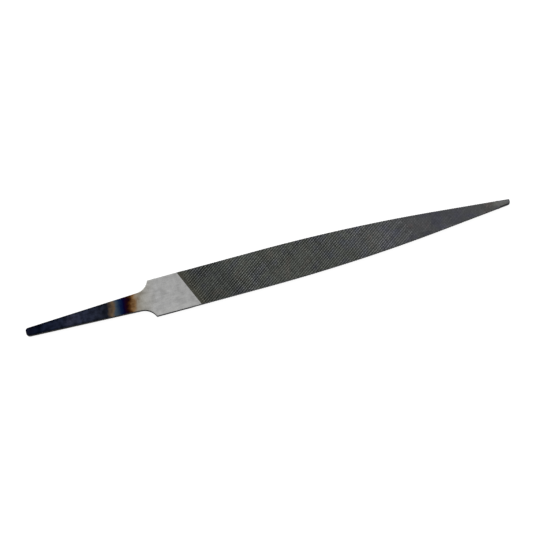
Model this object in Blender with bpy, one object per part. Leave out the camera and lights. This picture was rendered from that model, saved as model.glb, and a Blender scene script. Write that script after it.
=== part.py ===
"""A flat locksmith's file, made from one strip of hardened steel.

The file lies flat with its tang towards -X and its tip towards +X. The origin is the middle of the
underside, and left is +Y. The blank is one outline of even thickness, whose long edges are cut with
straight teeth. Both faces are then cut with slanted chisel teeth. All lengths are in metres.
"""
import math

import bmesh
import bpy
from mathutils import Matrix, Vector

# Blade
THICKNESS = 0.0024
BLADE_LENGTH = 0.2000          # shoulders to tip
BLADE_WIDTH = 0.0207           # over the teeth of the parallel part
SHOULDER_WIDTH = 0.0206        # the heel widens a little from here to the blade's full width
SHOULDER_RADIUS = 0.0080       # the hollow between the tang and the shoulder's corner
SHOULDER_CORNER_RADIUS = 0.0005
PARALLEL_LENGTH = 0.0613       # shoulders to the start of the taper
NOSE_LENGTH = 0.0389           # the last stretch, whose sides run straight to the tip
TIP_WIDTH = 0.0026
TIP_LEFT_CORNER_RADIUS = 0.0005
TIP_RIGHT_CORNER_RADIUS = 0.0015    # worn rounder than the left one

# Tang
TANG_LENGTH = 0.0699           # shoulders to the tang's end
TANG_ROOT_WIDTH = 0.0107       # where its straight sides would meet the line of the shoulders
TANG_END_WIDTH = 0.0044
TANG_LEFT_CORNER_RADIUS = 0.0016
TANG_RIGHT_CORNER_RADIUS = 0.0022

# Bare steel
HEEL_LENGTH = 0.0206           # shoulders to the first tooth, on the centre line
BARE_TIP_LENGTH = 0.0060       # last tooth to the tip, on the centre line
EDGE_BREAK = 0.00015           # chamfer round the rims of the tang and the heel

# Teeth on the faces
TOOTH_PITCH = 0.00112          # measured square to the chisel's line
TOOTH_DEPTH = 0.00030
TOOTH_FACE_RUN = 0.00008       # how far the steep side of a tooth leans
CREST_DROP = 0.00002           # the points of the teeth lie this far under the bare steel
CHISEL_ANGLE = math.radians(67.5)   # between the chisel's line and the file's axis

# Teeth on the edges
EDGE_TOOTH_PITCH = 0.00125
EDGE_TOOTH_DEPTH = 0.00016
EDGE_FACE_RUN = 0.00005        # how far the steep side of an edge tooth leans

# Steps that the curves are divided into
TAPER_ROUNDS = 8
SHOULDER_STEPS = 12
CORNER_STEPS = 5

SHOULDER_X = (TANG_LENGTH - BLADE_LENGTH) / 2    # puts the origin at the middle of the whole length
MIDDLE_HEIGHT = THICKNESS / 2
CUTTER_OVERRUN = THICKNESS                       # how far a cutter stands out of the steel
WELD_DISTANCE = CREST_DROP / 4

STEEL_COLOR = (0.16, 0.165, 0.165, 1.0)
STEEL_ROUGHNESS = 0.42


def clear_scene():
    """Remove the objects of the open scene."""
    for old in list(bpy.data.objects):
        bpy.data.objects.remove(old, do_unlink=True)


def new_collection(name):
    """A collection linked to the scene."""
    collection = bpy.data.collections.new(name)
    bpy.context.scene.collection.children.link(collection)
    return collection


def find_nose_angle():
    """Angle of the nose's straight sides to the axis.

    The taper's arc leaves the parallel part along the axis and runs into the nose's side without a
    kink, so the arc drops by its length times the tangent of half this angle.
    """
    arc_length = BLADE_LENGTH - PARALLEL_LENGTH - NOSE_LENGTH
    drop = (BLADE_WIDTH - TIP_WIDTH) / 2
    half_tangent = 0.0
    for _ in range(TAPER_ROUNDS):
        half_tangent = drop / (arc_length + 2 * NOSE_LENGTH / (1 - half_tangent ** 2))
    return 2 * math.atan(half_tangent)


NOSE_ANGLE = find_nose_angle()


def blade_half_width(x):
    """Half the width of the blade at a distance x from the shoulders."""
    nose_start = BLADE_LENGTH - NOSE_LENGTH
    if x < HEEL_LENGTH:
        return (SHOULDER_WIDTH + (BLADE_WIDTH - SHOULDER_WIDTH) * x / HEEL_LENGTH) / 2
    if x < PARALLEL_LENGTH:
        return BLADE_WIDTH / 2
    if x < nose_start:
        radius = (nose_start - PARALLEL_LENGTH) / math.sin(NOSE_ANGLE)
        return BLADE_WIDTH / 2 - radius + math.sqrt(radius ** 2 - (x - PARALLEL_LENGTH) ** 2)
    return TIP_WIDTH / 2 + (BLADE_LENGTH - x) * math.tan(NOSE_ANGLE)


def round_corner(before, corner, after, radius):
    """Points of the arc that rounds the corner between two straight sides."""
    back = (before - corner).normalized()
    onward = (after - corner).normalized()
    half_angle = back.angle(onward) / 2
    centre = corner + (back + onward).normalized() * radius / math.sin(half_angle)
    first = corner + back * radius / math.tan(half_angle) - centre
    last = corner + onward * radius / math.tan(half_angle) - centre
    return [centre + first.slerp(last, step / CORNER_STEPS) * radius for step in range(CORNER_STEPS + 1)]


def tang_side(corner_radius):
    """One side of the tang, from its end to the rounded corner of the shoulder."""
    end = Vector((-TANG_LENGTH, TANG_END_WIDTH / 2))
    root = Vector((0.0, TANG_ROOT_WIDTH / 2))
    points = round_corner(Vector((-TANG_LENGTH, 0.0)), end, root, corner_radius)

    # The hollow is an arc that leaves the tang's side without a kink and runs to the shoulder's corner.
    along = (root - end).normalized()
    outward = Vector((-along.y, along.x))
    corner = Vector((0.0, SHOULDER_WIDTH / 2)) - root
    rise = corner.dot(outward)
    start = corner.dot(along) - math.sqrt(2 * SHOULDER_RADIUS * rise - rise ** 2)
    sweep = math.acos(1 - rise / SHOULDER_RADIUS)
    for step in range(SHOULDER_STEPS + 1):
        angle = sweep * step / SHOULDER_STEPS
        reach = along * (start + SHOULDER_RADIUS * math.sin(angle))
        points.append(root + reach + outward * SHOULDER_RADIUS * (1 - math.cos(angle)))
    shoulder = points.pop()
    first_tooth = Vector((HEEL_LENGTH, BLADE_WIDTH / 2))
    return points + round_corner(points[-1], shoulder, first_tooth, SHOULDER_CORNER_RADIUS)


def blade_side(corner_radius):
    """One edge of the blade from the first edge tooth to the tip, each tooth steep towards the tip."""
    cut_length = BLADE_LENGTH - BARE_TIP_LENGTH - HEEL_LENGTH
    points = [Vector((HEEL_LENGTH, blade_half_width(HEEL_LENGTH)))]
    for tooth in range(int(cut_length / EDGE_TOOTH_PITCH)):
        start = HEEL_LENGTH + EDGE_TOOTH_PITCH * tooth
        valley = start + EDGE_FACE_RUN
        crest = start + EDGE_TOOTH_PITCH
        points.append(Vector((valley, blade_half_width(valley) - EDGE_TOOTH_DEPTH)))
        points.append(Vector((crest, blade_half_width(crest))))
    tip_corner = Vector((BLADE_LENGTH, TIP_WIDTH / 2))
    return points + round_corner(points[-1], tip_corner, Vector((BLADE_LENGTH, 0.0)), corner_radius)


def blank_outline():
    """The whole outline seen from above, along the left side and back along the right one."""
    left = tang_side(TANG_LEFT_CORNER_RADIUS) + blade_side(TIP_LEFT_CORNER_RADIUS)
    right = tang_side(TANG_RIGHT_CORNER_RADIUS) + blade_side(TIP_RIGHT_CORNER_RADIUS)
    outline = left + [Vector((point.x, -point.y)) for point in reversed(right)]
    return [point + Vector((SHOULDER_X, 0.0)) for point in outline]


def filled_outline(name, points, depth, collection):
    """A closed mesh object: a filled outline in the XY plane, with half its depth on each side of it."""
    curve = bpy.data.curves.new(name, "CURVE")
    curve.dimensions = "2D"
    curve.fill_mode = "BOTH"
    curve.extrude = depth / 2
    spline = curve.splines.new("POLY")
    spline.points.add(len(points) - 1)
    for point, place in zip(spline.points, points):
        point.co = (place[0], place[1], 0.0, 1.0)
    spline.use_cyclic_u = True
    flat = bpy.data.objects.new(name, curve)
    collection.objects.link(flat)
    bpy.context.view_layer.update()

    mesh = bpy.data.meshes.new_from_object(flat.evaluated_get(bpy.context.evaluated_depsgraph_get()))
    bpy.data.objects.remove(flat, do_unlink=True)
    solid = bpy.data.objects.new(name, mesh)
    collection.objects.link(solid)

    shape = bmesh.new()
    shape.from_mesh(mesh)
    bmesh.ops.remove_doubles(shape, verts=shape.verts, dist=WELD_DISTANCE)
    for level in (-depth / 2, depth / 2):
        cap = []
        for face in shape.faces:
            if all(abs(vert.co.z - level) < WELD_DISTANCE for vert in face.verts):
                cap.append(face)
        bmesh.ops.dissolve_faces(shape, faces=cap)
    bmesh.ops.recalc_face_normals(shape, faces=shape.faces)
    shape.to_mesh(mesh)
    shape.free()
    return solid


def break_bare_rims(blank):
    """Chamfer the upper and lower rims of the tang and the heel."""
    heel_end = SHOULDER_X + HEEL_LENGTH + WELD_DISTANCE
    shape = bmesh.new()
    shape.from_mesh(blank.data)
    rims = []
    for edge in shape.edges:
        first, last = edge.verts
        level = abs(first.co.z - last.co.z) < WELD_DISTANCE
        bare = max(first.co.x, last.co.x) < heel_end
        if level and bare:
            rims.append(edge)
    bmesh.ops.bevel(shape, geom=rims, offset=EDGE_BREAK, offset_type="OFFSET", segments=1, profile=0.5,
                    affect="EDGES", material=-1)
    shape.to_mesh(blank.data)
    shape.free()


def tooth_profile():
    """Side view of one face's cutter: distance along the file and height over the bare steel."""
    stretch = 1 / math.sin(CHISEL_ANGLE)
    cut_length = BLADE_LENGTH - BARE_TIP_LENGTH - HEEL_LENGTH
    count = int(cut_length / (TOOTH_PITCH * stretch))
    points = [(0.0, CUTTER_OVERRUN), (0.0, 0.0)]
    for tooth in range(count):
        points.append(((TOOTH_PITCH * tooth + TOOTH_FACE_RUN) * stretch, -TOOTH_DEPTH))
        points.append((TOOTH_PITCH * (tooth + 1) * stretch, -CREST_DROP))
    points.append((TOOTH_PITCH * count * stretch, CUTTER_OVERRUN))
    return points


def chisel_cutter(name, face_turn, collection):
    """The steel that the chisel takes from one face, as one comb slanted along the chisel's line."""
    reach = BLADE_WIDTH / math.sin(CHISEL_ANGLE) + 2 * CUTTER_OVERRUN
    comb = filled_outline(name, tooth_profile(), reach, collection)
    slant = Matrix((
        (1.0, 0.0, math.cos(CHISEL_ANGLE), SHOULDER_X + HEEL_LENGTH),
        (0.0, 0.0, -math.sin(CHISEL_ANGLE), 0.0),
        (0.0, 1.0, 0.0, MIDDLE_HEIGHT),
        (0.0, 0.0, 0.0, 1.0),
    ))
    comb.data.transform(slant)
    comb.matrix_world = Matrix.Translation((0.0, 0.0, MIDDLE_HEIGHT)) @ Matrix.Rotation(face_turn, 4, "X")
    comb.display_type = "WIRE"
    comb.hide_render = True
    return comb


def cut_with(blank, cutter):
    """Take a cutter's volume out of the blank."""
    cut = blank.modifiers.new(cutter.name, "BOOLEAN")
    cut.operation = "DIFFERENCE"
    cut.solver = "EXACT"
    cut.object = cutter


def steel():
    """Hardened file steel, dark grey and half matt."""
    material = bpy.data.materials.new("file_steel")
    material.use_nodes = True
    shader = material.node_tree.nodes["Principled BSDF"]
    shader.inputs["Base Color"].default_value = STEEL_COLOR
    shader.inputs["Metallic"].default_value = 1.0
    shader.inputs["Roughness"].default_value = STEEL_ROUGHNESS
    return material


clear_scene()
parts = new_collection("locksmith_file")
cutters = new_collection("cutters")

file_body = filled_outline("file_body", blank_outline(), THICKNESS, parts)
file_body.location.z = MIDDLE_HEIGHT
break_bare_rims(file_body)
cut_with(file_body, chisel_cutter("upper_face_teeth", 0.0, cutters))
cut_with(file_body, chisel_cutter("lower_face_teeth", math.pi, cutters))
file_body.data.materials.append(steel())
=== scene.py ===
import math
import random

import bmesh
import bpy
import numpy as np
from mathutils import Matrix, Vector


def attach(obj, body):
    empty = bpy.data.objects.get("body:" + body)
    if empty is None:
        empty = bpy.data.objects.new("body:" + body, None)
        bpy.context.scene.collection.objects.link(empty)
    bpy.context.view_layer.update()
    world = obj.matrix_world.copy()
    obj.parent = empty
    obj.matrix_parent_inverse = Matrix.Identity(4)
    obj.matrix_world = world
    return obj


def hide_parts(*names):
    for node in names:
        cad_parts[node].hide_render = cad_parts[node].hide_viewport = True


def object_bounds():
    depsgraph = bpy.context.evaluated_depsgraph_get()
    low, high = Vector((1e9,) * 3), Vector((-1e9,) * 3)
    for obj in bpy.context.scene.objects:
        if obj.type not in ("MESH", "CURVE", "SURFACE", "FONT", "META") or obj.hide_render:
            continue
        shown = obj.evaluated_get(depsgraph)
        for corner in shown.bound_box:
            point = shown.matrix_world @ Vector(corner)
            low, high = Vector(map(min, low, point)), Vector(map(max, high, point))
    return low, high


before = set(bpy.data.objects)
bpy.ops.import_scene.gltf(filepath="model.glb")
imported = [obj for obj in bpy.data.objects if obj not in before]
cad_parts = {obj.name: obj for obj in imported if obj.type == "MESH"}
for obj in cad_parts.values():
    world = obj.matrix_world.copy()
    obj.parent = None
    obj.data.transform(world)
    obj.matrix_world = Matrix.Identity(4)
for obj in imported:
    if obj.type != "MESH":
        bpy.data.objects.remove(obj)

cad_low, cad_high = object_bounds()

# The blank. A strip of tool steel, blanked to its outline and ground flat on both faces, with a long
# curve to a blunt tip, hollow shoulders and a straight tapered tang. The corners of the tang's end and
# of the tip are worn rounder on the right side than on the left.
THICKNESS = cad_high.z - cad_low.z
BLADE_LENGTH = 0.2000
SHOULDER_X = cad_high.x - BLADE_LENGTH
HALF_TANG_END = 0.0022
HALF_TANG_ROOT = 0.00535
TANG_LEFT_CORNER = 0.0016
TANG_RIGHT_CORNER = 0.0022
HALF_SHOULDER = 0.0103
HOLLOW_RADIUS = 0.0080
SHOULDER_CORNER = 0.0005
HEEL_LENGTH = 0.0206
PARALLEL_LENGTH = 0.0613
NOSE_LENGTH = 0.0389
HALF_BLADE = cad_high.y
HALF_TIP = 0.0013
TIP_LEFT_CORNER = 0.0005
TIP_RIGHT_CORNER = 0.0015
CORNER_STEPS = 8
HOLLOW_STEPS = 20
SHOULDER_CORNER_STEPS = 6
TAPER_STEPS = 48
WELD = 0.000001

tang_lean = math.atan2(HALF_TANG_ROOT - HALF_TANG_END, SHOULDER_X - cad_low.x)
hollow_rise = (HALF_SHOULDER - HALF_TANG_ROOT) * math.cos(tang_lean)
hollow_run = math.sqrt(2 * HOLLOW_RADIUS * hollow_rise - hollow_rise ** 2)
hollow_run -= (HALF_SHOULDER - HALF_TANG_ROOT) * math.sin(tang_lean)
foot = Vector((SHOULDER_X - hollow_run * math.cos(tang_lean),
               HALF_TANG_ROOT - hollow_run * math.sin(tang_lean)))
hollow = foot + Vector((-math.sin(tang_lean), math.cos(tang_lean))) * HOLLOW_RADIUS
shoulder_y = HALF_SHOULDER - SHOULDER_CORNER
shoulder_turn = math.acos((hollow.y - shoulder_y) / (HOLLOW_RADIUS + SHOULDER_CORNER))
shoulder_x = hollow.x + math.sin(shoulder_turn) * (HOLLOW_RADIUS + SHOULDER_CORNER)

taper_length = BLADE_LENGTH - PARALLEL_LENGTH - NOSE_LENGTH
half_tangent = 0.0
for _ in range(8):
    half_tangent = (HALF_BLADE - HALF_TIP) / (taper_length + 2 * NOSE_LENGTH / (1 - half_tangent ** 2))
nose_lean = 2 * math.atan(half_tangent)
taper_radius = taper_length / math.sin(nose_lean)

steel = bmesh.new()


def line_to(pen, x, y):
    """Draw a straight edge from the pen's vertex and return the new end."""
    end = bmesh.ops.extrude_vert_indiv(steel, verts=[pen])["verts"][0]
    end.co = (x, y, 0)
    return end


def arc_round(pen, x, y, angle, steps):
    """Draw an arc from the pen's vertex round a centre and return the new end."""
    turned = bmesh.ops.spin(steel, geom=[pen], cent=(x, y, 0), axis=(0, 0, 1), angle=angle,
                            steps=steps, use_duplicate=False)
    return [item for item in turned["geom_last"] if isinstance(item, bmesh.types.BMVert)][0]


def draw_side(side, tang_corner, tip_corner):
    """Draw one side from the tang's end to the tip, the left one for 1 and the right one for -1."""
    end_turn = math.pi / 2 - tang_lean
    end_flat = HALF_TANG_END - tang_corner * math.tan(end_turn / 2)
    pen = steel.verts.new((cad_low.x, 0, 0))
    pen = line_to(pen, cad_low.x, end_flat * side)
    pen = arc_round(pen, cad_low.x + tang_corner, end_flat * side, -end_turn * side, CORNER_STEPS)
    pen = line_to(pen, foot.x, foot.y * side)
    pen = arc_round(pen, hollow.x, hollow.y * side, (shoulder_turn - tang_lean) * side, HOLLOW_STEPS)
    pen = arc_round(pen, shoulder_x, shoulder_y * side, -shoulder_turn * side, SHOULDER_CORNER_STEPS)

    tip_turn = math.pi / 2 - nose_lean
    tip_flat = HALF_TIP - tip_corner * math.tan(tip_turn / 2)
    pen = line_to(pen, SHOULDER_X + HEEL_LENGTH, HALF_BLADE * side)
    pen = line_to(pen, SHOULDER_X + PARALLEL_LENGTH, HALF_BLADE * side)
    pen = arc_round(pen, pen.co.x, (HALF_BLADE - taper_radius) * side, -nose_lean * side, TAPER_STEPS)
    pen = line_to(pen, cad_high.x - tip_corner * (1 - math.sin(nose_lean)),
                  (tip_flat + tip_corner * math.cos(nose_lean)) * side)
    return arc_round(pen, cad_high.x - tip_corner, tip_flat * side, -tip_turn * side, CORNER_STEPS)


left_end = draw_side(1, TANG_LEFT_CORNER, TIP_LEFT_CORNER)
right_end = draw_side(-1, TANG_RIGHT_CORNER, TIP_RIGHT_CORNER)
bmesh.ops.contextual_create(steel, geom=[left_end, right_end])
bmesh.ops.remove_doubles(steel, verts=steel.verts, dist=WELD)
sheet = bmesh.ops.contextual_create(steel, geom=steel.edges[:])["faces"]
raised = bmesh.ops.extrude_face_region(steel, geom=sheet)["geom"]
bmesh.ops.translate(steel, verts=[item for item in raised if isinstance(item, bmesh.types.BMVert)],
                    vec=(0, 0, THICKNESS))
bmesh.ops.recalc_face_normals(steel, faces=steel.faces)

# The edge teeth. Both narrow edges are cut straight across with a fine single cut, each tooth steep
# towards the tip, so that the file also cuts with its edges in the wards of a key.
EDGE_PITCH = 0.00125
EDGE_DEPTH = 0.00016
EDGE_FACE_RUN = 0.00005
BARE_TIP = 0.0060
cut_start = SHOULDER_X + HEEL_LENGTH
cut_end = cad_high.x - BARE_TIP


def split(geometry, point, normal):
    """Score a straight line across the given faces and return them with what they became."""
    return bmesh.ops.bisect_plane(steel, geom=geometry, dist=WELD, plane_co=point, plane_no=normal)["geom"]


def with_rims(faces):
    """Faces with their edges and vertices, each once, as the scoring needs them."""
    edges = dict.fromkeys(edge for face in faces for edge in face.edges)
    verts = dict.fromkeys(vert for face in faces for vert in face.verts)
    return list(faces) + list(edges) + list(verts)


edge_places = []
edge_depths = []
for tooth in range(int((cut_end - cut_start) / EDGE_PITCH)):
    edge_places += [cut_start + tooth * EDGE_PITCH, cut_start + tooth * EDGE_PITCH + EDGE_FACE_RUN]
    edge_depths += [0.0, EDGE_DEPTH]
edge_places.append(edge_places[-2] + EDGE_PITCH)
edge_depths.append(0.0)
walls = with_rims([face for face in steel.faces if abs(face.normal.z) < 0.5])
for place in edge_places:
    walls = split(walls, (place, 0, 0), (1, 0, 0))
for vert in steel.verts:
    vert.co.y -= math.copysign(np.interp(vert.co.x, edge_places, edge_depths), vert.co.y)

# The face teeth. A chisel first cuts the overcut, shallow grooves at 35 degrees to the axis, and then
# the upcut across them, which raises rows of small pointed teeth, steep towards the tip. Each blow
# throws up a burr just behind the crest, and the blows get lighter towards the thin tip.
UPCUT_ANGLE = math.radians(68.2)
UPCUT_PITCH = 0.00112
UPCUT_DEPTH = 0.00020
UPCUT_FACE_RUN = 0.00008
BURR_RUN = 0.00034
BURR_FOOT = 0.62
OVERCUT_ANGLE = math.radians(35.0)
OVERCUT_PITCH = 0.00119
OVERCUT_DEPTH = 0.00030
OVERCUT_BACK_RUN = 0.00078
OVERCUT_FADE = 0.0025
LIGHTEST_BLOW = 0.7
LIGHTER_FROM = 0.45
LIGHTEST_FROM = 0.74
TIP_LIGHTNESS = 0.68
TIP_FADE = 0.0040
UPCUT_PIT = 0.65 * UPCUT_DEPTH
OVERCUT_PIT = 0.6 * OVERCUT_DEPTH
chance = random.Random(11)
first_tooth = Vector((cut_start, 0, 0))

upcut_count = int((cut_end - cut_start) * math.sin(UPCUT_ANGLE) / UPCUT_PITCH)
upcut_end = upcut_count * UPCUT_PITCH
upcut_places = []
upcut_depths = []
for groove in range(upcut_count):
    crest = groove * UPCUT_PITCH
    depth = UPCUT_DEPTH * chance.uniform(LIGHTEST_BLOW, 1.0)
    upcut_places += [crest, crest + UPCUT_FACE_RUN, crest + UPCUT_PITCH - BURR_RUN]
    upcut_depths += [0.0, depth, depth * BURR_FOOT]
upcut_places.append(upcut_end)
upcut_depths.append(0.0)


def square_to_upcut(side):
    """The direction square to the upcut lines of the upper face, for 1, or of the lower one, for -1."""
    return Vector((math.sin(UPCUT_ANGLE), side * math.cos(UPCUT_ANGLE), 0))


def is_cut(face, side):
    """Whether a face of that side lies between the first and the last upcut line."""
    along = (face.calc_center_median() - first_tooth).dot(square_to_upcut(side))
    return face.normal.z * side > 0.5 and 0 < along < upcut_end


def cut_teeth(side):
    """Sink the crossing grooves into the upper face, for 1, or into the lower one, for -1."""
    across_upcut = square_to_upcut(side)
    across_overcut = Vector((-math.sin(OVERCUT_ANGLE), side * math.cos(OVERCUT_ANGLE), 0))
    scored = with_rims([face for face in steel.faces if face.normal.z * side > 0.5])
    for place in upcut_places:
        scored = split(scored, first_tooth + across_upcut * place, across_upcut)

    scored = with_rims([face for face in steel.faces if is_cut(face, side)])
    verts = [item for item in scored if isinstance(item, bmesh.types.BMVert)]
    reach = [(vert.co - first_tooth).dot(across_overcut) for vert in verts]
    overcut_places = []
    overcut_depths = []
    place = min(reach) - OVERCUT_PITCH / 2
    while place < max(reach):
        overcut_places += [place, place + OVERCUT_BACK_RUN]
        overcut_depths += [0.0, OVERCUT_DEPTH * chance.uniform(LIGHTEST_BLOW, 1.0)]
        place += OVERCUT_PITCH
    for place in overcut_places:
        scored = split(scored, first_tooth + across_overcut * place, across_overcut)

    peaks_and_pits = []
    for vert in [item for item in scored if isinstance(item, bmesh.types.BMVert)]:
        along = (vert.co - first_tooth).dot(across_upcut)
        aside = (vert.co - first_tooth).dot(across_overcut)
        upcut = np.interp(along, upcut_places, upcut_depths)
        overcut = np.interp(aside, overcut_places, overcut_depths) * min(1, max(0, along / OVERCUT_FADE))
        is_peak = upcut < WELD and overcut < WELD
        is_pit = upcut > UPCUT_PIT and overcut > OVERCUT_PIT
        if is_peak or is_pit:
            peaks_and_pits.append(vert)
        if WELD < along < upcut_end - WELD:
            weight = 1 - np.interp(along / upcut_end, (LIGHTER_FROM, LIGHTEST_FROM), (0, TIP_LIGHTNESS))
            weight *= min(1, (upcut_end - along) / TIP_FADE)
            vert.co.z -= side * max(upcut, overcut) * weight
    bmesh.ops.connect_verts(steel, verts=peaks_and_pits)


cut_teeth(1)
cut_teeth(-1)

# The bare rims. Heel and tang have their sharp arrises broken with a stone, and the tip, which the
# chisel leaves uncut, is worn rounder.
RIM_BREAK = 0.00015
TIP_ROUNDING = 0.00045
RIM_ANGLE = 1.4
MIDDLE = THICKNESS / 2
bmesh.ops.dissolve_degenerate(steel, edges=steel.edges, dist=WELD)
split(with_rims([face for face in steel.faces if max(vert.co.x for vert in face.verts) > cut_end]),
      (cut_end, 0, 0), (1, 0, 0))
steel.normal_update()
heel_rims = []
tip_rims = []
for edge in steel.edges:
    first, last = edge.verts
    lies_in_face = abs(abs(first.co.z + last.co.z - THICKNESS) - THICKNESS) < WELD
    if edge.calc_face_angle() < RIM_ANGLE or not lies_in_face:
        continue
    side = math.copysign(1, first.co.z - MIDDLE)
    middle = (first.co + last.co) / 2
    along = (middle - first_tooth).dot(square_to_upcut(side))
    if along < 0 and middle.x < cut_start:
        heel_rims.append(edge)
    if middle.x > cut_end:
        tip_rims.append(edge)
bmesh.ops.bevel(steel, geom=heel_rims, offset=RIM_BREAK, offset_type="OFFSET", segments=2, profile=0.5,
                affect="EDGES", clamp_overlap=True, material=-1)
bmesh.ops.bevel(steel, geom=tip_rims, offset=TIP_ROUNDING, offset_type="OFFSET", segments=4, profile=0.5,
                affect="EDGES", clamp_overlap=True, material=-1)

# The finished file. Each vertex knows how far it lies from the heel, and each face takes one of three
# surfaces: the cut steel with the flat of the tip, the bare steel of heel and tang, and the scaled edges
# with their painted shade.
HEEL_END = cut_start + 0.0060
FLAT = 0.99
TURNED_UP = 0.6
CUT, BARE, SCALE_AND_PAINTED_SHADE = range(3)
tip_distance = (Vector((cad_high.x, 0, 0)) - first_tooth).dot(square_to_upcut(1))
from_heel = steel.verts.layers.float.new("from_heel")
for vert in steel.verts:
    side = math.copysign(1, vert.co.z - MIDDLE)
    vert[from_heel] = (vert.co - first_tooth).dot(square_to_upcut(side)) / tip_distance
for face in steel.faces:
    middle = face.calc_center_median()
    upright = abs(face.normal.z)
    if is_cut(face, math.copysign(1, middle.z - MIDDLE)) or (middle.x > HEEL_END and upright > FLAT):
        face.material_index = CUT
    elif upright > TURNED_UP and middle.x <= HEEL_END:
        face.material_index = BARE
    else:
        # Every other face takes the dark scale with its painted shade.
        face.material_index = SCALE_AND_PAINTED_SHADE
    face.smooth = True

cut_file_mesh = bpy.data.meshes.new("cut_file")
steel.to_mesh(cut_file_mesh)
steel.free()
cut_file_mesh.set_sharp_from_angle(angle=math.radians(12))
cut_file = bpy.data.objects.new("cut_file", cut_file_mesh)
bpy.context.scene.collection.objects.link(cut_file)


def patches(tree, surface, scale, detail):
    """Cloudy patches over a surface, from 0 to 1."""
    noise = tree.nodes.new("ShaderNodeTexNoise")
    noise.inputs["Scale"].default_value = scale
    noise.inputs["Detail"].default_value = detail
    tree.links.new(surface, noise.inputs["Vector"])
    return noise.outputs["Fac"]


def spread(tree, value, first, last, start, end):
    """Turn a value that runs from first to last into one that runs from start to end."""
    node = tree.nodes.new("ShaderNodeMapRange")
    node.inputs["From Min"].default_value = first
    node.inputs["From Max"].default_value = last
    node.inputs["To Min"].default_value = start
    node.inputs["To Max"].default_value = end
    tree.links.new(value, node.inputs["Value"])
    return node.outputs["Result"]


def shades(tree, value, stops):
    """Shades that follow one another, each with its place and its red, green and blue."""
    ramp = tree.nodes.new("ShaderNodeValToRGB")
    while len(ramp.color_ramp.elements) < len(stops):
        ramp.color_ramp.elements.new(1.0)
    for element, (place, red, green, blue) in zip(ramp.color_ramp.elements, stops):
        element.position = place
        element.color = (red, green, blue, 1)
    tree.links.new(value, ramp.inputs["Fac"])
    return ramp.outputs["Color"]


def stain(tree, shade, film, where=None):
    """Multiply a shade by the film that lies on it, all over or only where a value says."""
    mix = tree.nodes.new("ShaderNodeMix")
    mix.data_type = "RGBA"
    mix.blend_type = "MULTIPLY"
    mix.inputs["Factor"].default_value = 1.0
    if where:
        tree.links.new(where, mix.inputs["Factor"])
    tree.links.new(shade, mix.inputs["A"])
    tree.links.new(film, mix.inputs["B"])
    return mix.outputs["Result"]


def roughen(tree, marks, strength, depth):
    """Raise fine marks on a surface."""
    bump = tree.nodes.new("ShaderNodeBump")
    bump.inputs["Strength"].default_value = strength
    bump.inputs["Distance"].default_value = depth
    tree.links.new(marks, bump.inputs["Height"])
    return bump.outputs["Normal"]


# The cut steel. Hardened teeth, dark grey, with painted shade darkening the gullets and a painted highlight
# lightening the points, over the oil and scale left in the gullets and the rubbed points, and faint patches
# of blue, brown and green from the hardening bath. It is dirtiest next to the heel and rubbed palest near
# the tip.
cut_steel = bpy.data.materials.new("cut_steel")
cut_steel.use_nodes = True
tree = cut_steel.node_tree
shader = tree.nodes["Principled BSDF"]
surface = tree.nodes.new("ShaderNodeTexCoord").outputs["Object"]
axes = tree.nodes.new("ShaderNodeSeparateXYZ")
tree.links.new(surface, axes.inputs[0])
off_middle = tree.nodes.new("ShaderNodeMath")
off_middle.operation = "SUBTRACT"
off_middle.inputs[1].default_value = MIDDLE
tree.links.new(axes.outputs["Z"], off_middle.inputs[0])
height = tree.nodes.new("ShaderNodeMath")
height.operation = "ABSOLUTE"
tree.links.new(off_middle.outputs[0], height.inputs[0])
gullet_to_point = spread(tree, height.outputs[0], MIDDLE - OVERCUT_DEPTH, MIDDLE, 0, 1)
# Painted shade and highlight: by their height, the gullets are painted darker and the points lighter, along
# with the oil in the gullets and the rubbed points.
tooth_grey_painted_shade_and_highlight = shades(tree, gullet_to_point, [
    (0.00, 0.017, 0.017, 0.017),
    (0.25, 0.029, 0.030, 0.029),
    (0.50, 0.052, 0.053, 0.051),
    (0.85, 0.082, 0.083, 0.080),
    (1.00, 0.125, 0.126, 0.122),
])
MORE_DUST_AT_TIP = 0.14
DUST_GREY = (0.054, 0.056, 0.054, 1)
distance = tree.nodes.new("ShaderNodeAttribute")
distance.attribute_name = "from_heel"
dust = tree.nodes.new("ShaderNodeMath")
dust.operation = "MULTIPLY_ADD"
dust.inputs[1].default_value = MORE_DUST_AT_TIP
tree.links.new(distance.outputs["Fac"], dust.inputs[0])
tree.links.new(patches(tree, surface, 80, 2), dust.inputs[2])
filled = tree.nodes.new("ShaderNodeMix")
filled.data_type = "RGBA"
filled.inputs["B"].default_value = DUST_GREY
tree.links.new(spread(tree, dust.outputs[0], 0.44, 0.62, 0.0, 0.85), filled.inputs["Factor"])
tree.links.new(tooth_grey_painted_shade_and_highlight, filled.inputs["A"])
bath_film = shades(tree, patches(tree, surface, 150, 3), [
    (0.30, 0.84, 0.87, 1.00),
    (0.42, 0.90, 0.90, 0.94),
    (0.50, 0.93, 0.95, 0.90),
    (0.58, 0.90, 0.92, 0.87),
    (0.70, 1.00, 0.92, 0.86),
])
soot = spread(tree, patches(tree, surface, 1100, 2), 0.34, 0.66, 0.76, 1.23)
use_film = shades(tree, distance.outputs["Fac"], [
    (0.000, 1.02, 0.97, 0.84),
    (0.032, 0.66, 0.67, 0.66),
    (0.110, 0.68, 0.70, 0.71),
    (0.180, 0.90, 0.92, 0.91),
    (0.480, 0.84, 0.85, 0.84),
    (0.680, 1.18, 1.16, 1.31),
    (0.790, 1.28, 1.26, 1.48),
    (0.890, 1.68, 1.62, 1.86),
    (0.975, 1.48, 1.48, 1.44),
])
rubbed_off = spread(tree, distance.outputs["Fac"], 0.45, 0.75, 1.0, 0.5)
shade = stain(tree, stain(tree, filled.outputs["Result"], bath_film), use_film)
shade = stain(tree, shade, soot, rubbed_off)
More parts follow.
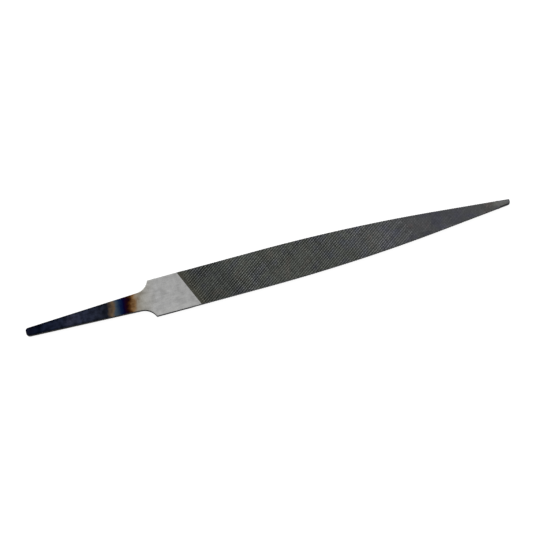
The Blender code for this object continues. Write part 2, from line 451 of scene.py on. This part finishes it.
grit = patches(tree, surface, 6000, 2)
tree.links.new(shade, shader.inputs["Base Color"])
tree.links.new(spread(tree, gullet_to_point, 0, 1, 0.62, 0.34), shader.inputs["Roughness"])
tree.links.new(roughen(tree, grit, 0.25, 0.00003), shader.inputs["Normal"])
shader.inputs["Metallic"].default_value = 1.0
cut_file_mesh.materials.append(cut_steel)

# The bare steel. The heel is ground bright along the file. The tang was drawn back to a tough temper in
# a flame, and its oxide runs from straw over brown, purple and blue to tan, and then to a dark scale
# with paler clouds that ends almost black.
bare_steel = bpy.data.materials.new("bare_steel")
bare_steel.use_nodes = True
tree = bare_steel.node_tree
shader = tree.nodes["Principled BSDF"]
surface = tree.nodes.new("ShaderNodeTexCoord").outputs["Object"]
axes = tree.nodes.new("ShaderNodeSeparateXYZ")
tree.links.new(surface, axes.inputs[0])
HEAT_SLANT = -0.20
HEAT_WANDER = 0.0048
HEAT_LENGTH = 0.0720
SCALE_END = 0.60
clouds = patches(tree, surface, 330, 4)
slanted = tree.nodes.new("ShaderNodeMath")
slanted.operation = "MULTIPLY_ADD"
slanted.inputs[1].default_value = HEAT_SLANT
tree.links.new(axes.outputs["Y"], slanted.inputs[0])
tree.links.new(axes.outputs["X"], slanted.inputs[2])
wandering = tree.nodes.new("ShaderNodeMath")
wandering.operation = "MULTIPLY_ADD"
wandering.inputs[1].default_value = HEAT_WANDER
tree.links.new(clouds, wandering.inputs[0])
tree.links.new(slanted.outputs[0], wandering.inputs[2])
heat_start = cad_low.x + HEAT_WANDER / 2
from_tang_end = spread(tree, wandering.outputs[0], heat_start, heat_start + HEAT_LENGTH, 0, 1)
HEAT_TINTS = [
    (0.0000, (0.006, 0.007, 0.017)),  # black scale
    (0.0070, (0.003, 0.005, 0.013)),  # black scale
    (0.0100, (0.007, 0.010, 0.023)),  # black scale
    (0.0210, (0.011, 0.014, 0.028)),  # dark scale
    (0.0250, (0.025, 0.027, 0.047)),  # grey scale
    (0.0310, (0.020, 0.024, 0.044)),  # grey scale
    (0.0450, (0.010, 0.012, 0.019)),  # dark scale
    (0.0480, (0.135, 0.090, 0.052)),  # tan
    (0.0502, (0.040, 0.064, 0.090)),  # pale blue
    (0.0522, (0.004, 0.013, 0.050)),  # deep blue
    (0.0546, (0.002, 0.001, 0.020)),  # violet
    (0.0562, (0.012, 0.002, 0.003)),  # purple
    (0.0580, (0.075, 0.028, 0.007)),  # brown
    (0.0600, (0.230, 0.130, 0.055)),  # bronze
    (0.0618, (0.285, 0.250, 0.200)),  # straw
    (0.0645, (0.345, 0.335, 0.300)),  # pale straw
    (0.0720, (0.415, 0.415, 0.412)),  # bare steel
]
oxide = shades(tree, from_tang_end, [(reach / HEAT_LENGTH, *tint) for reach, tint in HEAT_TINTS])
GRIND_STRETCH = (1, 30, 30)
along_grind = tree.nodes.new("ShaderNodeMapping")
along_grind.inputs["Scale"].default_value = GRIND_STRETCH
tree.links.new(surface, along_grind.inputs["Vector"])
grind_marks = patches(tree, along_grind.outputs["Vector"], 120, 4)
grind_film = spread(tree, grind_marks, 0.3, 0.7, 0.82, 0.97)
# Painted light across the heel: lighter along the near rim, a strip of painted shade just inside the far
# rim, and a painted highlight on that rim.
across = spread(tree, axes.outputs["Y"], -HALF_SHOULDER, HALF_SHOULDER, 0, 1)
painted_rim_light_and_shade = shades(tree, across, [
    (0.00, 1.04, 1.04, 1.04),
    (0.08, 1.04, 1.04, 1.03),
    (0.16, 0.97, 0.97, 0.97),
    (0.86, 0.96, 0.96, 0.96),
    (0.91, 0.92, 0.92, 0.92),
    (0.95, 0.92, 0.92, 0.92),
    (0.98, 1.02, 1.02, 1.01),
])
on_tang = spread(tree, from_tang_end, SCALE_END, SCALE_END + 0.04, 1, 0)
scale_clouds = spread(tree, patches(tree, surface, 420, 3), 0.35, 0.65, 0.55, 1.45)
# Painted shade along the tang's rims: the faces of the tang are darkened within about a millimetre of their
# edges.
TANG_SLOPE = math.tan(tang_lean)
half_width = tree.nodes.new("ShaderNodeMath")
half_width.operation = "MULTIPLY_ADD"
half_width.inputs[1].default_value = TANG_SLOPE
half_width.inputs[2].default_value = HALF_TANG_END - cad_low.x * TANG_SLOPE
tree.links.new(axes.outputs["X"], half_width.inputs[0])
off_axis = tree.nodes.new("ShaderNodeMath")
off_axis.operation = "ABSOLUTE"
tree.links.new(axes.outputs["Y"], off_axis.inputs[0])
from_rim = tree.nodes.new("ShaderNodeMath")
from_rim.operation = "SUBTRACT"
tree.links.new(half_width.outputs[0], from_rim.inputs[0])
tree.links.new(off_axis.outputs[0], from_rim.inputs[1])
painted_tang_rim_shade = spread(tree, from_rim.outputs[0], 0.0001, 0.0013, 0.45, 1.05)
grain = spread(tree, patches(tree, surface, 1300, 2), 0.35, 0.65, 0.94, 1.05)
shade = stain(tree, stain(tree, stain(tree, oxide, grind_film), grain), painted_rim_light_and_shade)
shade = stain(tree, stain(tree, shade, scale_clouds, on_tang), painted_tang_rim_shade, on_tang)
tree.links.new(shade, shader.inputs["Base Color"])
tree.links.new(spread(tree, clouds, 0.3, 0.7, 0.30, 0.44), shader.inputs["Roughness"])
tree.links.new(roughen(tree, grind_marks, 0.15, 0.00002), shader.inputs["Normal"])
shader.inputs["Metallic"].default_value = 1.0
cut_file_mesh.materials.append(bare_steel)

# The scale and painted shade. The narrow edges of the whole file and the rounded rim of the tip keep the
# dark scale of the hardening, which doesn't shine, and their near-black colour is also painted shade along
# the edges and round the tip's end. It is darkest on the tang, which the flame has burnt.
BURNT_UNTIL = SHOULDER_X - 0.020
CLEAN_FROM = SHOULDER_X - 0.010
edge_scale_and_painted_shade = bpy.data.materials.new("edge_scale_and_painted_shade")
edge_scale_and_painted_shade.use_nodes = True
tree = edge_scale_and_painted_shade.node_tree
shader = tree.nodes["Principled BSDF"]
surface = tree.nodes.new("ShaderNodeTexCoord").outputs["Object"]
axes = tree.nodes.new("ShaderNodeSeparateXYZ")
tree.links.new(surface, axes.inputs[0])
# Painted shade: this near-black colour is partly the scale and partly painted shade on the edges and round
# the tip's end.
dark_skin_and_painted_shade = shades(tree, patches(tree, surface, 700, 4), [
    (0.35, 0.018, 0.018, 0.022),
    (0.70, 0.045, 0.045, 0.044),
])
burnt = spread(tree, axes.outputs["X"], BURNT_UNTIL, CLEAN_FROM, 0.3, 1.0)
tree.links.new(stain(tree, dark_skin_and_painted_shade, burnt), shader.inputs["Base Color"])
shader.inputs["Roughness"].default_value = 0.65
shader.inputs["Specular IOR Level"].default_value = 0.12
cut_file_mesh.materials.append(edge_scale_and_painted_shade)

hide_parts("file_body")
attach(cut_file, "root")

# The floor. A plain white table top just under the file. It is white to the camera and in the steel's
# reflections, and it keeps the file's faint shadow.
TABLE_SIZE = 4
TABLE_GAP = 0.0002
TABLE_PAINT = 0.28
TABLE_GLOW = 0.87
floor_mesh = bpy.data.meshes.new("floor")
floor_shape = bmesh.new()
bmesh.ops.create_grid(floor_shape, x_segments=1, y_segments=1, size=TABLE_SIZE)
floor_shape.to_mesh(floor_mesh)
floor_shape.free()
floor = bpy.data.objects.new("floor", floor_mesh)
floor.location.z = -TABLE_GAP
bpy.context.scene.collection.objects.link(floor)

white = bpy.data.materials.new("white_table")
white.use_nodes = True
nodes = white.node_tree.nodes
links = white.node_tree.links
nodes.clear()
output = nodes.new("ShaderNodeOutputMaterial")
paint = nodes.new("ShaderNodeBsdfDiffuse")
paint.inputs["Color"].default_value = (TABLE_PAINT, TABLE_PAINT, TABLE_PAINT, 1)
glow = nodes.new("ShaderNodeEmission")
glow.inputs["Color"].default_value = (1, 1, 1, 1)
rays = nodes.new("ShaderNodeLightPath")
seen = nodes.new("ShaderNodeMath")
seen.operation = "MAXIMUM"
links.new(rays.outputs["Is Camera Ray"], seen.inputs[0])
links.new(rays.outputs["Is Glossy Ray"], seen.inputs[1])
also = nodes.new("ShaderNodeMath")
also.operation = "MAXIMUM"
links.new(seen.outputs[0], also.inputs[0])
links.new(rays.outputs["Is Transmission Ray"], also.inputs[1])
lift = nodes.new("ShaderNodeMath")
lift.operation = "MULTIPLY"
lift.inputs[1].default_value = TABLE_GLOW
links.new(also.outputs[0], lift.inputs[0])
links.new(lift.outputs[0], glow.inputs["Strength"])
both = nodes.new("ShaderNodeAddShader")
links.new(paint.outputs[0], both.inputs[0])
links.new(glow.outputs[0], both.inputs[1])
links.new(both.outputs[0], output.inputs["Surface"])
floor_mesh.materials.append(white)

# The light. A pale room lights the file evenly from all round, and one large soft lamp hangs high up on
# its left side, towards the tang.
world = bpy.data.worlds.new("pale_room")
world.use_nodes = True
bpy.context.scene.world = world
world.node_tree.nodes["Background"].inputs["Color"].default_value = (1, 1, 1, 1)
world.node_tree.nodes["Background"].inputs["Strength"].default_value = 0.6

lamp_data = bpy.data.lights.new("soft_lamp", "AREA")
lamp_data.shape = "SQUARE"
lamp_data.size = 0.5
lamp_data.energy = 8
lamp = bpy.data.objects.new("soft_lamp", lamp_data)
lamp.location = (-0.35, 0.75, 0.85)
lamp.rotation_mode = "QUATERNION"
lamp.rotation_quaternion = lamp.location.to_track_quat("Z", "Y")
bpy.context.scene.collection.objects.link(lamp)

# The camera. It looks down on the table from the near side, 17 degrees off the upright, and it is turned
# so that the file's tip points up to the right.
CAMERA_TILT = math.radians(17)
CAMERA_TURN = math.radians(15.86)
CAMERA_DISTANCE = 3.178
CAMERA_AIM = Vector((-0.00116, 0.0003, THICKNESS))
camera_data = bpy.data.cameras.new("camera")
camera_data.lens = 400
camera_data.sensor_width = 36
camera = bpy.data.objects.new("camera", camera_data)
camera.matrix_world = (Matrix.Translation(CAMERA_AIM) @ Matrix.Rotation(-CAMERA_TURN, 4, "Z")
                       @ Matrix.Rotation(CAMERA_TILT, 4, "X") @ Matrix.Translation((0, 0, CAMERA_DISTANCE)))
bpy.context.scene.collection.objects.link(camera)
bpy.context.scene.camera = camera

bpy.context.scene.view_settings.view_transform = "Standard"
